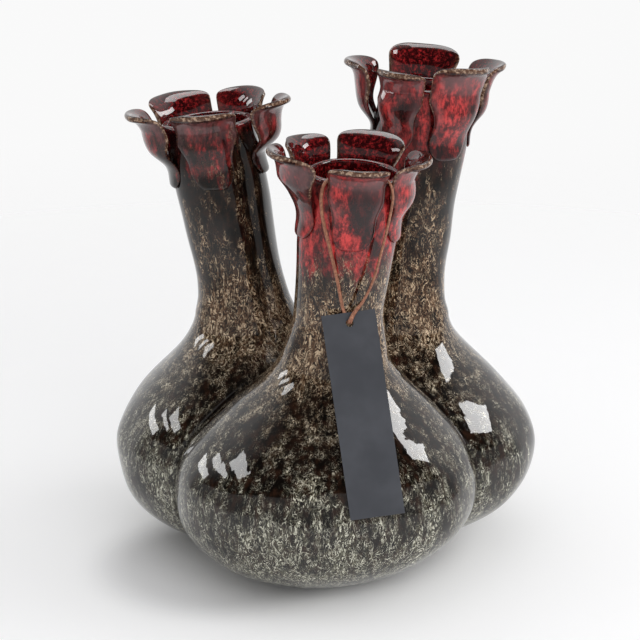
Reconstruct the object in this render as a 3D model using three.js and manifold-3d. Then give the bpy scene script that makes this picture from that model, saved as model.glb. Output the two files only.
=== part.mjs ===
// A stoneware vase of three joined flasks, each with a flower of petals round its rim,
// and a plain card tag on a leather cord. Millimetres, +Z up, the front faces -Y.
// The origin lies on the table, under the middle of the vase.

import * as THREE from 'three';
import { mergeVertices } from 'three/addons/utils/BufferGeometryUtils.js';
import Module from 'manifold-3d';

const wasm = await Module();
wasm.setup();

// Body
const BELLY_RADIUS = 88;
const BELLY_HEIGHT = 56;
const FOOT_RADIUS = 21;
const COLLAR_RADIUS = 30.5;
const SHOULDER_HEIGHT = 79; // from the belly up to the collar
const COLLAR_HEIGHT = BELLY_HEIGHT + SHOULDER_HEIGHT;
const LOBE_SPREAD = 43.5; // from the middle of the vase to the axis of each lobe
const BODY_WALL = 6;
const BASE_SLUMP = 10; // how far the foot has settled to the left of the belly
const JOINT_GAP = 0.3; // between pieces that are luted or laid together

// Necks
const WAIST_RADIUS = 25.6;
const WAIST_DROP = 80; // from the rim down to the waist
const THROAT_RADIUS = 27.8;
const THROAT_DROP = 35;
const MOUTH_RADIUS = 27;
const NECK_WALL = 4.6;
const LIP_RISE = 1.5;
const LEAN_START = BELLY_HEIGHT + 14; // height where the flasks begin to lean apart
const RING_TILT = 0.45; // share of the lean that the rim tilts by

// Petals
const PETAL_SEAT = 12; // length of a petal that is pressed on the neck
const PETAL_THICKNESS = 5;
const PETAL_FOOT_THICKNESS = 2;
const PETAL_LIP_THICKNESS = 3.8;
const PETAL_ROLL = 8; // how far a petal's tip rolls out beyond its body at the rim's height
const PETAL_FOOT_SHARE = 0.5; // width at the seat, of the full width
const PETAL_CUP = 0.25; // share of the flare that a petal's corners fall back by
const PETAL_GAP = 3.4; // between neighbours, at least

// Tag and cord
const CARD_WIDTH = 30;
const CARD_LENGTH = 114.5;
const CARD_THICKNESS = 0.9;
const CARD_HOLE_RADIUS = 2.2;
const CARD_HOLE_DROP = 6;
const CARD_TILT = 8; // degrees, in its own plane
const CORD_DIAMETER = 1.8;
const KNOT_RADIUS = 2.6;

// Facets
const LOBE_SEGMENTS = 36;
const NECK_SEGMENTS = 24;

// Each flask: where its lobe stands, the height of its neck from collar to rim, how far its rim
// leans, how the lean grows, and its petals. A petal's turn is counted in degrees from the front, to the right. Its
// width, its rise above the rim, its drop below it, its reach from the neck's axis and its belly
// between seat and rim are in millimetres.
const FLASKS = [
  {
    name: 'front', bearing: -90, neck: 105, lean: [15.3, -10], bend: 1.1,
    petals: [
      { turn: 4, width: 49, rise: 12.2, drop: 37, reach: 41, belly: 1 },
      { turn: 74, width: 55, rise: 13, drop: 36, reach: 43, belly: 2 },
      { turn: 168, width: 50, rise: 14.5, drop: 34, reach: 44, belly: 3 },
      { turn: 231, width: 50, rise: 13, drop: 34, reach: 47, belly: 3 },
      { turn: 288, width: 58, rise: 16, drop: 35, reach: 52, belly: -2 },
    ],
  },
  {
    name: 'left', bearing: 150, neck: 114, lean: [-31.3, 11.3], bend: 1.2,
    petals: [
      { turn: -3, width: 52, rise: 11, drop: 34, reach: 41, belly: 2 },
      { turn: 76, width: 50, rise: 13, drop: 30, reach: 52, belly: 3.5 },
      { turn: 139, width: 49, rise: 13, drop: 33, reach: 44, belly: 3 },
      { turn: 213, width: 52, rise: 13, drop: 33, reach: 44, belly: 3 },
      { turn: 286, width: 54, rise: 11, drop: 35, reach: 48, belly: 3 },
    ],
  },
  {
    name: 'right', bearing: 30, neck: 134, lean: [21.3, 16.3], bend: 1.35,
    petals: [
      { turn: -33, width: 45, rise: 12.5, drop: 34, reach: 42, belly: 3 },
      { turn: 34, width: 54, rise: 17.5, drop: 38, reach: 44, belly: 3 },
      { turn: 99, width: 47, rise: 16, drop: 34, reach: 45, belly: 2.5 },
      { turn: 187, width: 50, rise: 19, drop: 34, reach: 43, belly: 3 },
      { turn: 262, width: 50, rise: 13, drop: 34, reach: 50.5, belly: 2.5 },
    ],
  },
];

// The cord's loop lies in the two notches beside the front petal of the front flask. Its route
// outside and the card's hole are given by x, y and the height above the front rim, from the left
// notch down to the card and up to the right notch. Through the card the route is given in the
// card's own frame, from its back to its front.
const CORD_LEFT_STRAND = [
  [-1.2, -80.6, 0.6], [-2.8, -82.6, -5.5], [-2.6, -82.4, -14], [-0.9, -81.6, -24],
  [1.9, -80.4, -36], [4.8, -78.9, -49], [7, -77.5, -60], [9, -76.3, -71],
];
const CORD_THROUGH_CARD = [
  [-1.2, 4.2, -1.8], [-0.5, 1.2, -1.9], [0, 0.2, 0.45], [0.7, 1.2, 2.6], [3.2, 4.8, 2.9],
];
const CORD_RIGHT_STRAND = [
  [21, -80, -65], [26, -79.2, -54],
  [29.8, -79.2, -40], [33, -79.8, -26], [35.4, -80.4, -14], [36.2, -80.6, -5.5],
  [34.5, -78.6, 0.6],
];
const CARD_HOLE = [12.9, -79.9, -79];
const NOTCH_TURNS = { left: -31, right: 37.4 };
const KNOT_TURN = 3;
const KNOT_DROP = 26;

const glaze = new THREE.MeshStandardMaterial({ color: 0x4a4338, roughness: 0.2 });
const redGlaze = new THREE.MeshStandardMaterial({ color: 0x7c2024, roughness: 0.15 });
const slateCard = new THREE.MeshStandardMaterial({ color: 0x4d4f55, roughness: 0.8 });
const leather = new THREE.MeshStandardMaterial({ color: 0x7b4a3c, roughness: 0.7 });

for (const flask of FLASKS) {
  const bearing = THREE.MathUtils.degToRad(flask.bearing);
  flask.x = LOBE_SPREAD * Math.cos(bearing);
  flask.y = LOBE_SPREAD * Math.sin(bearing);
  flask.rim = COLLAR_HEIGHT + flask.neck;
}

// A place in the vase's frame, from x, y and the height above the front flask's rim.
function fromRim([x, y, height]) {
  return new THREE.Vector3(x, y, FLASKS[0].rim + height);
}

// A flask's axis stands upright in its lobe and leans outwards above it.
function axisPoint(flask, height) {
  const share = Math.max(0, (height - LEAN_START) / (flask.rim - LEAN_START));
  const away = share ** flask.bend;
  return new THREE.Vector3(flask.x + flask.lean[0] * away, flask.y + flask.lean[1] * away, height);
}

// A point at a height and a distance from the axis. The turn starts at the front, in radians.
function flaskPoint(flask, height, distance, turn) {
  const below = axisPoint(flask, height - 1);
  const above = axisPoint(flask, height + 1);
  const tilt = RING_TILT * THREE.MathUtils.smoothstep(height, COLLAR_HEIGHT, flask.rim);
  const up = new THREE.Vector3((above.x - below.x) * tilt, (above.y - below.y) * tilt, 2).normalize();
  const right = new THREE.Vector3(up.z, 0, -up.x).normalize();
  const back = new THREE.Vector3().crossVectors(up, right);
  return axisPoint(flask, height)
    .addScaledVector(right, distance * Math.sin(turn))
    .addScaledVector(back, -distance * Math.cos(turn));
}

function ring(flask, height, radius, segments) {
  const points = [];
  for (let step = 0; step < segments; step += 1) {
    points.push(flaskPoint(flask, height, radius, (2 * Math.PI * step) / segments));
  }
  return points;
}

// Joins sections of equally many points. The last section runs on into the first, or the ends
// are closed straight across, from each side of the section to the other.
function loft(sections, runsOn = false) {
  const count = sections[0].length;
  const points = sections.flat();
  const faces = [];
  const last = runsOn ? sections.length : sections.length - 1;
  for (let row = 0; row < last; row += 1) {
    const low = row * count;
    const high = ((row + 1) % sections.length) * count;
    for (let step = 0; step < count; step += 1) {
      const next = (step + 1) % count;
      faces.push(low + step, low + next, high + next);
      faces.push(low + step, high + next, high + step);
    }
  }
  if (!runsOn) {
    for (let step = 0; step < count / 2 - 1; step += 1) {
      const cap = [step, count - 1 - step, count - 2 - step, step, count - 2 - step, step + 1];
      faces.push(...cap, ...cap.reverse().map((index) => index + (sections.length - 1) * count));
    }
  }
  const geometry = new THREE.BufferGeometry().setFromPoints(points);
  geometry.setIndex(faces);
  geometry.computeVertexNormals();
  return geometry;
}

// The lobe's outline from foot to collar, as radius and height.
function lobeOutline() {
  const curve = new THREE.CurvePath();
  curve.add(new THREE.CubicBezierCurve(
    new THREE.Vector2(FOOT_RADIUS, 0),
    new THREE.Vector2(THREE.MathUtils.lerp(FOOT_RADIUS, BELLY_RADIUS, 0.5), BELLY_HEIGHT * 0.1),
    new THREE.Vector2(BELLY_RADIUS, BELLY_HEIGHT * 0.37),
    new THREE.Vector2(BELLY_RADIUS, BELLY_HEIGHT),
  ));
  curve.add(new THREE.CubicBezierCurve(
    new THREE.Vector2(BELLY_RADIUS, BELLY_HEIGHT),
    new THREE.Vector2(BELLY_RADIUS, THREE.MathUtils.lerp(BELLY_HEIGHT, COLLAR_HEIGHT, 0.43)),
    new THREE.Vector2(COLLAR_RADIUS * 1.18, THREE.MathUtils.lerp(BELLY_HEIGHT, COLLAR_HEIGHT, 0.68)),
    new THREE.Vector2(COLLAR_RADIUS, COLLAR_HEIGHT),
  ));
  return curve;
}

// The neck's outline from the collar to the rim.
function neckOutline(flask) {
  return new THREE.SplineCurve([
    new THREE.Vector2(COLLAR_RADIUS, COLLAR_HEIGHT + JOINT_GAP),
    new THREE.Vector2(THREE.MathUtils.lerp(WAIST_RADIUS, COLLAR_RADIUS, 0.25), COLLAR_HEIGHT + 14),
    new THREE.Vector2(WAIST_RADIUS, Math.max(flask.rim - WAIST_DROP, COLLAR_HEIGHT + 26)),
    new THREE.Vector2(THROAT_RADIUS, flask.rim - THROAT_DROP),
    new THREE.Vector2(MOUTH_RADIUS, flask.rim),
  ]);
}

// The points of an outline, and the same ones moved inwards by the wall.
function wallPoints(curve, steps, wall) {
  const outside = [];
  const inside = [];
  for (let step = 0; step <= steps; step += 1) {
    const point = curve.getPoint(step / steps);
    const along = curve.getTangent(step / steps);
    outside.push(point);
    inside.push(new THREE.Vector2(point.x - along.y * wall, point.y + along.x * wall));
  }
  return { outside, inside };
}

function toManifold(geometry) {
  const bare = geometry.clone();
  bare.deleteAttribute('normal');
  bare.deleteAttribute('uv');
  const merged = mergeVertices(bare);
  return new wasm.Manifold(new wasm.Mesh({
    numProp: 3,
    vertProperties: new Float32Array(merged.attributes.position.array),
    triVerts: new Uint32Array(merged.index.array),
  }));
}

function fromManifold(solid) {
  const { vertProperties, triVerts } = solid.getMesh();
  const geometry = new THREE.BufferGeometry();
  geometry.setAttribute('position', new THREE.BufferAttribute(vertProperties, 3));
  geometry.setIndex(new THREE.BufferAttribute(triVerts, 1));
  geometry.computeVertexNormals();
  return geometry;
}

// The third of the plan that belongs to one lobe, as a tall wedge with its edge in the middle.
function lobeWedge(flask) {
  const reach = 4 * (LOBE_SPREAD + BELLY_RADIUS);
  const bearing = THREE.MathUtils.degToRad(flask.bearing);
  const edge = JOINT_GAP / 2 / Math.sin(Math.PI / 3);
  const corner = (turn, distance) => new THREE.Vector2(
    edge * Math.cos(bearing) + distance * Math.cos(bearing + turn),
    edge * Math.sin(bearing) + distance * Math.sin(bearing + turn),
  );
  const plan = new THREE.Shape([corner(0, 0), corner(-Math.PI / 3, reach), corner(Math.PI / 3, reach)]);
  const wedge = new THREE.ExtrudeGeometry(plan, { depth: 2 * COLLAR_HEIGHT, bevelEnabled: false });
  wedge.translate(0, 0, -COLLAR_HEIGHT / 2);
  return wedge;
}

// Below the belly the whole body has settled a little to the left.
function slump(geometry) {
  const places = geometry.attributes.position;
  for (let index = 0; index < places.count; index += 1) {
    const rest = Math.max(0, 1 - places.getZ(index) / BELLY_HEIGHT);
    places.setX(index, places.getX(index) - BASE_SLUMP * rest * rest);
  }
  return geometry;
}

// A lobe is a thick-walled flask body, cut where it meets its two neighbours, so that the
// three bodies share one hollow.
function makeLobe(flask) {
  const { outside, inside } = wallPoints(lobeOutline(), 16, BODY_WALL);
  const sections = outside.map((point) => ring(flask, point.y, point.x, LOBE_SEGMENTS));
  const top = inside[inside.length - 1];
  top.y = COLLAR_HEIGHT;
  for (const point of inside.reverse()) {
    sections.push(ring(flask, point.y, point.x, LOBE_SEGMENTS));
  }
  const flaskBody = toManifold(loft(sections));
  const cut = flaskBody.intersect(toManifold(lobeWedge(flask)));
  return new THREE.Mesh(slump(fromManifold(cut)), glaze);
}

// A neck is a tube with a waist and a rounded lip.
function makeNeck(flask) {
  const { outside, inside } = wallPoints(neckOutline(flask), 9, NECK_WALL);
  inside[0].y = COLLAR_HEIGHT + JOINT_GAP;
  const lip = new THREE.Vector2(MOUTH_RADIUS - NECK_WALL / 2, flask.rim + LIP_RISE);
  const loop = [...outside, lip, ...inside.reverse()];
  const sections = loop.map((point) => ring(flask, point.y, point.x, NECK_SEGMENTS));
  return new THREE.Mesh(loft(sections, true), redGlaze);
}

function neckRadius(flask, height) {
  const outline = neckOutline(flask).getPoints(40);
  const above = outline.findIndex((point) => point.y >= height);
  if (above < 1) return above < 0 ? MOUTH_RADIUS : COLLAR_RADIUS;
  const [low, high] = [outline[above - 1], outline[above]];
  return THREE.MathUtils.mapLinear(height, low.y, high.y, low.x, high.x);
}

// How much of its width a petal keeps towards its rounded foot and its rounded top.
function petalRounding(along, seat) {
  const below = Math.max(0, (seat - along) / seat);
  const over = Math.max(0, (along - 0.8) / 0.2);
  return Math.sqrt(1 - 0.8 * below ** 2) * Math.sqrt(1 - 0.62 * over ** 3);
}

// How far a petal may spread to each side: the turn to its neighbour is shared by their widths.
function petalRoom(flask, petal) {
  const others = flask.petals.filter((other) => other !== petal);
  const rooms = (sign) => others.map((other) => {
    const between = THREE.MathUtils.euclideanModulo(sign * (other.turn - petal.turn), 360);
    return THREE.MathUtils.degToRad(between) * petal.width / (petal.width + other.width);
  });
  return { left: Math.min(...rooms(-1)), right: Math.min(...rooms(1)) };
}

// A petal's middle line, as distance from the neck's axis and height: it hugs the neck below,
// leans away towards the rim, and rolls out flat at its tip.
function petalLine(flask, petal) {
  const foot = flask.rim - petal.drop;
  const seat = foot + PETAL_SEAT;
  const seated = (height) => neckRadius(flask, height) + JOINT_GAP + PETAL_FOOT_THICKNESS / 2;
  const shoulder = new THREE.Vector2(petal.reach - PETAL_ROLL - PETAL_THICKNESS / 2, flask.rim);
  const tip = new THREE.Vector2(petal.reach, flask.rim + petal.rise - PETAL_LIP_THICKNESS / 2);
  const line = new THREE.CurvePath();
  line.add(new THREE.SplineCurve([
    new THREE.Vector2(seated(foot), foot),
    new THREE.Vector2(seated(seat), seat),
    new THREE.Vector2((seated(seat) + shoulder.x) / 2 + petal.belly, (seat + shoulder.y) / 2),
    shoulder,
  ]));
  const roll = tip.clone().sub(shoulder);
  line.add(new THREE.CubicBezierCurve(
    shoulder,
    new THREE.Vector2(shoulder.x + 1.5, shoulder.y + 0.55 * roll.y),
    new THREE.Vector2(shoulder.x + 0.45 * roll.x, shoulder.y + 0.95 * roll.y),
    tip,
  ));
  return line;
}

// A petal is a curved leaf of clay, thin where it is pressed on the neck and again at its rolled lip.
function makePetal(flask, petal) {
  const rows = [0, 0.05, 0.13, 0.25, 0.38, 0.51, 0.62, 0.72, 0.8, 0.87, 0.93, 0.97, 1];
  const across = [-1, -0.55, 0, 0.55, 1];
  const line = petalLine(flask, petal);
  const seat = PETAL_SEAT / line.getLength();
  const room = petalRoom(flask, petal);
  const turn = THREE.MathUtils.degToRad(petal.turn);
  const sections = rows.map((along) => {
    const middle = line.getPoint(along);
    const way = line.getTangent(along);
    const ends = 1 - Math.max(0, (0.05 - along) / 0.05, (along - 0.97) / 0.03);
    const thickening = THREE.MathUtils.smoothstep(along, 0.1, 0.6);
    const thinning = THREE.MathUtils.smoothstep(along, 0.7, 0.93);
    const body = THREE.MathUtils.lerp(PETAL_FOOT_THICKNESS, PETAL_THICKNESS, thickening);
    const thickness = THREE.MathUtils.lerp(body, PETAL_LIP_THICKNESS, thinning);
    const half = thickness / 2 * (0.5 + 0.5 * ends);
    const hug = neckRadius(flask, middle.y) + JOINT_GAP + half;
    const corner = THREE.MathUtils.lerp(middle.x, hug, PETAL_CUP);
    const widening = THREE.MathUtils.smoothstep(along, 0.3, 0.94);
    const width = petal.width * THREE.MathUtils.lerp(PETAL_FOOT_SHARE, 1, widening);
    const spread = (side) => {
      const free = (side < 0 ? room.left : room.right) - PETAL_GAP / 2 / corner;
      return side * Math.min(width / 2 / corner, free) * petalRounding(along, seat);
    };
    const face = (sign) => (side) => {
      const shift = sign * half * (1 - 0.55 * side ** 4);
      const cupped = hug + (middle.x - hug) * (1 - PETAL_CUP * side ** 2);
      const height = middle.y - shift * way.x;
      const distance = Math.max(cupped + shift * way.y, neckRadius(flask, height) + JOINT_GAP);
      return flaskPoint(flask, height, distance, turn + spread(side));
    };
    return [...across.map(face(1)), ...across.slice().reverse().map(face(-1))];
  });
  return new THREE.Mesh(loft(sections), redGlaze);
}

// The steepest lean at which a card that hangs from the hole still clears the belly.
function cardLean() {
  const hole = fromRim(CARD_HOLE);
  const outline = lobeOutline().getPoints(24);
  const leans = outline.map((point) => Math.atan2(
    LOBE_SPREAD + point.x + JOINT_GAP + hole.y,
    hole.z - point.y,
  ));
  return Math.max(...leans);
}

// The card hangs by its hole, a little askew, and leans on the belly.
function makeCard() {
  const outline = new THREE.Shape();
  outline.moveTo(-CARD_WIDTH / 2, CARD_HOLE_DROP);
  outline.lineTo(-CARD_WIDTH / 2, CARD_HOLE_DROP - CARD_LENGTH);
  outline.lineTo(CARD_WIDTH / 2, CARD_HOLE_DROP - CARD_LENGTH);
  outline.lineTo(CARD_WIDTH / 2, CARD_HOLE_DROP);
  outline.closePath();
  const hole = new THREE.Path();
  hole.absarc(0, 0, CARD_HOLE_RADIUS, 0, 2 * Math.PI, true);
  outline.holes.push(hole);
  const card = new THREE.ExtrudeGeometry(outline, {
    depth: CARD_THICKNESS, bevelEnabled: false, curveSegments: 8,
  });
  const mesh = new THREE.Mesh(card, slateCard);
  mesh.rotation.set(Math.PI / 2 - cardLean(), 0, THREE.MathUtils.degToRad(CARD_TILT));
  mesh.position.copy(fromRim(CARD_HOLE));
  return mesh;
}

// A round cord along a smooth route.
function makeCord(route, steps) {
  const section = new THREE.Shape();
  for (let corner = 0; corner < 8; corner += 1) {
    const turn = (2 * Math.PI * corner) / 8;
    const x = CORD_DIAMETER / 2 * Math.cos(turn);
    const y = CORD_DIAMETER / 2 * Math.sin(turn);
    if (corner === 0) section.moveTo(x, y);
    else section.lineTo(x, y);
  }
  const curve = new THREE.CatmullRomCurve3(route, false, 'centripetal');
  const tube = new THREE.ExtrudeGeometry(section, { steps, extrudePath: curve, bevelEnabled: false });
  return new THREE.Mesh(tube, leather);
}

// Points of the cord where it lies over the lip in a notch, from outside to inside.
function overLip(flask, turn) {
  const radians = THREE.MathUtils.degToRad(turn);
  const crest = flask.rim + LIP_RISE + CORD_DIAMETER / 2 + JOINT_GAP;
  const inner = MOUTH_RADIUS - NECK_WALL;
  const half = CORD_DIAMETER / 2 + JOINT_GAP;
  return {
    crest: flaskPoint(flask, crest, MOUTH_RADIUS - NECK_WALL / 2, radians),
    fold: flaskPoint(flask, flask.rim + 0.6, inner - half - 0.3, radians),
    fall: flaskPoint(flask, flask.rim - 6, inner - half - 0.4, radians),
  };
}

// The cord inside the mouth, from the lip down to the knot behind the front petal.
function innerStrand(flask, turn, knot) {
  const { crest, fold, fall } = overLip(flask, turn);
  const side = Math.sign(turn);
  const half = CORD_DIAMETER / 2 + JOINT_GAP;
  const inner = neckRadius(flask, flask.rim - 16) - NECK_WALL - half - 0.8;
  const sweep = THREE.MathUtils.degToRad(THREE.MathUtils.lerp(turn, KNOT_TURN, 0.45));
  const swing = flaskPoint(flask, flask.rim - 16, inner, sweep);
  const end = knot.clone().add(new THREE.Vector3(side * (KNOT_RADIUS + JOINT_GAP) * 0.74, 0.2, 2.2));
  const start = crest.clone().lerp(fold, 0.16);
  return makeCord([start, fold, fall, swing, end], 16);
}

function makeKnot(place) {
  const knot = new THREE.SphereGeometry(KNOT_RADIUS, 10, 7);
  const bare = mergeVertices(new THREE.BufferGeometry()
    .setAttribute('position', knot.attributes.position)
    .setIndex(knot.index));
  bare.computeVertexNormals();
  const mesh = new THREE.Mesh(bare, leather);
  mesh.position.copy(place);
  return mesh;
}

function named(mesh, name) {
  mesh.name = name;
  return mesh;
}

const vase = new THREE.Group();
for (const flask of FLASKS) {
  vase.add(named(makeLobe(flask), `lobe_${flask.name}`));
  vase.add(named(makeNeck(flask), `neck_${flask.name}`));
  flask.petals.forEach((petal, index) => {
    vase.add(named(makePetal(flask, petal), `petal_${flask.name}_${index + 1}`));
  });
}

const front = FLASKS[0];
const inside = neckRadius(front, front.rim - KNOT_DROP) - NECK_WALL - KNOT_RADIUS - 1.4;
const knotPlace = flaskPoint(front, front.rim - KNOT_DROP, inside, THREE.MathUtils.degToRad(KNOT_TURN));
const card = makeCard();
card.updateMatrixWorld(true);
vase.add(named(card, 'tag_card'));
vase.add(named(makeCord([
  overLip(front, NOTCH_TURNS.left).crest,
  ...CORD_LEFT_STRAND.map(fromRim),
  ...CORD_THROUGH_CARD.map((point) => card.localToWorld(new THREE.Vector3(...point))),
  ...CORD_RIGHT_STRAND.map(fromRim),
  overLip(front, NOTCH_TURNS.right).crest,
], 60), 'tag_cord'));
vase.add(named(innerStrand(front, NOTCH_TURNS.left, knotPlace), 'cord_inner_left'));
vase.add(named(innerStrand(front, NOTCH_TURNS.right, knotPlace), 'cord_inner_right'));
vase.add(named(makeKnot(knotPlace), 'cord_knot'));

// The origin lies under the middle of the pottery's outline.
const outline = new THREE.Box3();
vase.updateMatrixWorld(true);
const pottery = vase.children.filter((mesh) => !/^(tag|cord)_/.test(mesh.name));
pottery.forEach((mesh) => outline.expandByObject(mesh));
const middle = outline.getCenter(new THREE.Vector3());
vase.position.set(-middle.x, -middle.y, 0);

export default vase;
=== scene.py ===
"""Dresses the three-necked vase: fine glazed pottery, petal rims, a card tag and its cord."""
import math
from collections import namedtuple

import bpy
import numpy as np
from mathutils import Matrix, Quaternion, Vector, noise


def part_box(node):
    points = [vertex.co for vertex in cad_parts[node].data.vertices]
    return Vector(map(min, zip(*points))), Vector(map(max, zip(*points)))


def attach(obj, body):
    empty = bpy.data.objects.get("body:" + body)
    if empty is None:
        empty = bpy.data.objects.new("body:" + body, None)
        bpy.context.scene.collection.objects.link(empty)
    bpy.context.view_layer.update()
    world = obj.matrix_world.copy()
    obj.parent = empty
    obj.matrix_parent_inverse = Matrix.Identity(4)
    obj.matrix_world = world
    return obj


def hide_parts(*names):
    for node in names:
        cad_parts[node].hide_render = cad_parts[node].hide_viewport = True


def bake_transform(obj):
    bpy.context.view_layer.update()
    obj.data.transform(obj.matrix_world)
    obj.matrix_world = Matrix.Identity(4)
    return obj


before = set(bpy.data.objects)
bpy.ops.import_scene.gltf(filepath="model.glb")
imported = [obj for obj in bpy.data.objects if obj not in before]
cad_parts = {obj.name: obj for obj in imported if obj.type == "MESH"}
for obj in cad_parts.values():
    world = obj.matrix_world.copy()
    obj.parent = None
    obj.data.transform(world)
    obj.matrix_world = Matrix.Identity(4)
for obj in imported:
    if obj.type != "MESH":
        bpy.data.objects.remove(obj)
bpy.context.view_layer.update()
MM = 0.001

# Body, in millimetres
BELLY_RADIUS = 88
BELLY_HEIGHT = 56
FOOT_RADIUS = 21
COLLAR_RADIUS = 30.5
SHOULDER_HEIGHT = 79
COLLAR_HEIGHT = BELLY_HEIGHT + SHOULDER_HEIGHT
LOBE_SPREAD = 43.5
BODY_WALL = 6
BASE_SLUMP = 10
JOINT_GAP = 0.3
JOINT_SOFTNESS = 3.0
SEAM_CLEARANCE = 0.05
CREASE_REACH = 7

# Necks
WAIST_RADIUS = 25.6
WAIST_DROP = 80
LEAST_WAIST_RISE = 26
TAPER_RISE = 14
THROAT_RADIUS = 27.8
THROAT_DROP = 35
MOUTH_RADIUS = 27
NECK_WALL = 4.6
NECK_WALL_START = COLLAR_HEIGHT - 10
LIP_RISE = 1.5
LIP_ROUNDING = 0.7
LEAN_START = BELLY_HEIGHT + 14
RING_TILT = 0.45

# Petals
PETAL_SEAT = 12
PETAL_THICKNESS = 5
PETAL_FOOT_THICKNESS = 2
PETAL_LIP_THICKNESS = 3.8
PETAL_ROLL = 8
PETAL_FOOT_SHARE = 0.5
PETAL_CUP = 0.25
PETAL_GAP = 3.4
PETAL_SINK = 0.25
PETAL_SIDE_FULLNESS = 0.72
PETAL_FACE_FULLNESS = 0.62

# Cord
CORD_DIAMETER = 1.8
LACE_WIDTH = 2.6
LACE_THICKNESS = 1.5
KNOT_RADIUS = 2.6
KNOT_FLATNESS = 0.8
KNOT_CORD_SHARE = 0.8
KNOT_TURN = 3
KNOT_DROP = 26
KNOT_CLEARANCE = 1.4
STRAND_DROP = 16
STRAND_CLEARANCE = 0.8
NOTCH_TURNS = {"left": -31, "right": 37.4}
CARD_TILT = 8

# The clay's small waves: how high and how far apart, and how far from a foot or joint they start
BODY_WAVE = (1.1, 26.0)
PETAL_WAVE = (0.7, 14.0)
PETAL_EDGE_WAVE = (0.8, 19.0)
FOOT_CALM = 12
JOINT_CALM = 8

# How finely the shapes are drawn
BELLY_STEPS = 44
SHOULDER_STEPS = 60
NECK_STEPS = 70
NECK_FINE_STEPS = 200
FLASK_CORNERS = 200
PETAL_BODY_STEPS = 90
PETAL_ROLL_STEPS = 60
PETAL_ROWS = 60
PETAL_CORNERS = 64
CORD_STEPS = 420
KNOT_STEPS = 160
CORD_CORNERS = 14

# A petal's turn is in degrees, and its other sizes are in millimetres
Petal = namedtuple("Petal", "turn width rise drop reach belly")

# A flask's bearing is in degrees. Its axis has leant by lean at the rim, along a power curve of bend.
# Its glaze is as red as crown at the rim, less by one over each length red below, and pale adds flecks
# to its neck.
FLASKS = [
    {
        "name": "front", "bearing": -90, "rim": COLLAR_HEIGHT + 105, "lean": (15.3, -10), "bend": 1.1,
        "red": 66, "crown": 1.0, "pale": 0.2, "seed": 1,
        "petals": [
            Petal(4, 49, 12.2, 37, 41, 1), Petal(74, 55, 13, 36, 43, 2), Petal(168, 50, 14.5, 34, 44, 3),
            Petal(231, 50, 13, 34, 47, 3), Petal(288, 58, 16, 35, 52, -2),
        ],
    },
    {
        "name": "left", "bearing": 150, "rim": COLLAR_HEIGHT + 114, "lean": (-31.3, 11.3), "bend": 1.2,
        "red": 70, "crown": 0.3, "pale": 0.0, "seed": 2,
        "petals": [
            Petal(-3, 52, 11, 34, 41, 2), Petal(76, 50, 13, 30, 52, 3.5), Petal(139, 49, 13, 33, 44, 3),
            Petal(213, 52, 13, 33, 44, 3), Petal(286, 54, 11, 35, 48, 3),
        ],
    },
    {
        "name": "right", "bearing": 30, "rim": COLLAR_HEIGHT + 134, "lean": (21.3, 16.3), "bend": 1.35,
        "red": 56, "crown": 1.0, "pale": 0.06, "seed": 3,
        "petals": [
            Petal(-33, 45, 12.5, 34, 42, 3), Petal(34, 54, 17.5, 38, 44, 3), Petal(99, 47, 16, 34, 45, 2.5),
            Petal(187, 50, 19, 34, 43, 3), Petal(262, 50, 13, 34, 50.5, 2.5),
        ],
    },
]

CORD_LEFT_STRAND = [
    (-1.2, -80.6, 240.6), (-2.8, -82.6, 234.5), (-2.6, -82.4, 226), (-0.9, -81.6, 216),
    (1.9, -80.4, 204), (4.8, -78.9, 191), (7, -77.5, 180), (9, -76.3, 169),
]
CORD_THROUGH_CARD = [(-1.2, 4.2, -1.8), (-0.5, 1.2, -1.9), (0, 0.2, 0.45), (0.7, 1.2, 2.6), (3.2, 4.8, 2.9)]
CORD_RIGHT_STRAND = [
    (21, -80, 175), (26, -79.2, 186), (29.8, -79.2, 200), (33, -79.8, 214),
    (35.4, -80.4, 226), (36.2, -80.6, 234.5), (34.5, -78.6, 240.6),
]
CARD_HOLE = (12.9, -79.9, 161)

# How thickly the glaze is flecked, by height
FLECKING = {
    20: 0.26, 43: 0.17, 62: 0.11, 75: 0.05, 92: -0.01,
    109: 0.02, 125: 0.25, 150: 0.16, 180: -0.06, 215: -0.12,
}

# Where the threads turn warm, where a pale neck's flecks thicken, where the mouth turns deep red as
# seen from the rim, and how many times longer the red runs down a petal than down a neck
WARM_HEIGHTS = (60, 150)
PALE_HEIGHTS = (130, 160)
INNER_DEPTHS = (-70, -20)
PETAL_RED_LENGTH = 1.6


def mix(low, high, share):
    return low + (high - low) * share


def smoothstep(start, full, value):
    share = np.clip((value - start) / (full - start), 0, 1)
    return share * share * (3 - 2 * share)


def soft_least(a, b, softness):
    """The smaller of two values, with a rounded change from one to the other."""
    blend = np.clip(0.5 + 0.5 * (b - a) / softness, 0, 1)
    return mix(b, a, blend) - softness * blend * (1 - blend)


def bezier(points, count):
    a, b, c, d = (np.asarray(p, float) for p in points)
    t = np.linspace(0, 1, count)[:, None]
    return (1 - t) ** 3 * a + 3 * (1 - t) ** 2 * t * b + 3 * (1 - t) * t * t * c + t ** 3 * d


def spline(points, count):
    """A smooth curve through points, each span by a cubic with the neighbours' slopes."""
    knots = np.asarray(points, float)
    padded = np.vstack([2 * knots[0] - knots[1], knots, 2 * knots[-1] - knots[-2]])
    spans = len(knots) - 1
    place = np.linspace(0, spans, count)
    index = np.minimum(place.astype(int), spans - 1)
    t = (place - index)[:, None]
    a, b, c, d = (padded[index + k] for k in range(4))
    squared = 2 * a - 5 * b + 4 * c - d
    cubed = 3 * b - a - 3 * c + d
    return 0.5 * (2 * b + (c - a) * t + squared * t ** 2 + cubed * t ** 3)


def directions(path):
    """The way that a path runs at each of its points, one unit long."""
    way = np.gradient(path, axis=0)
    return way / np.linalg.norm(way, axis=1, keepdims=True)


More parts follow.
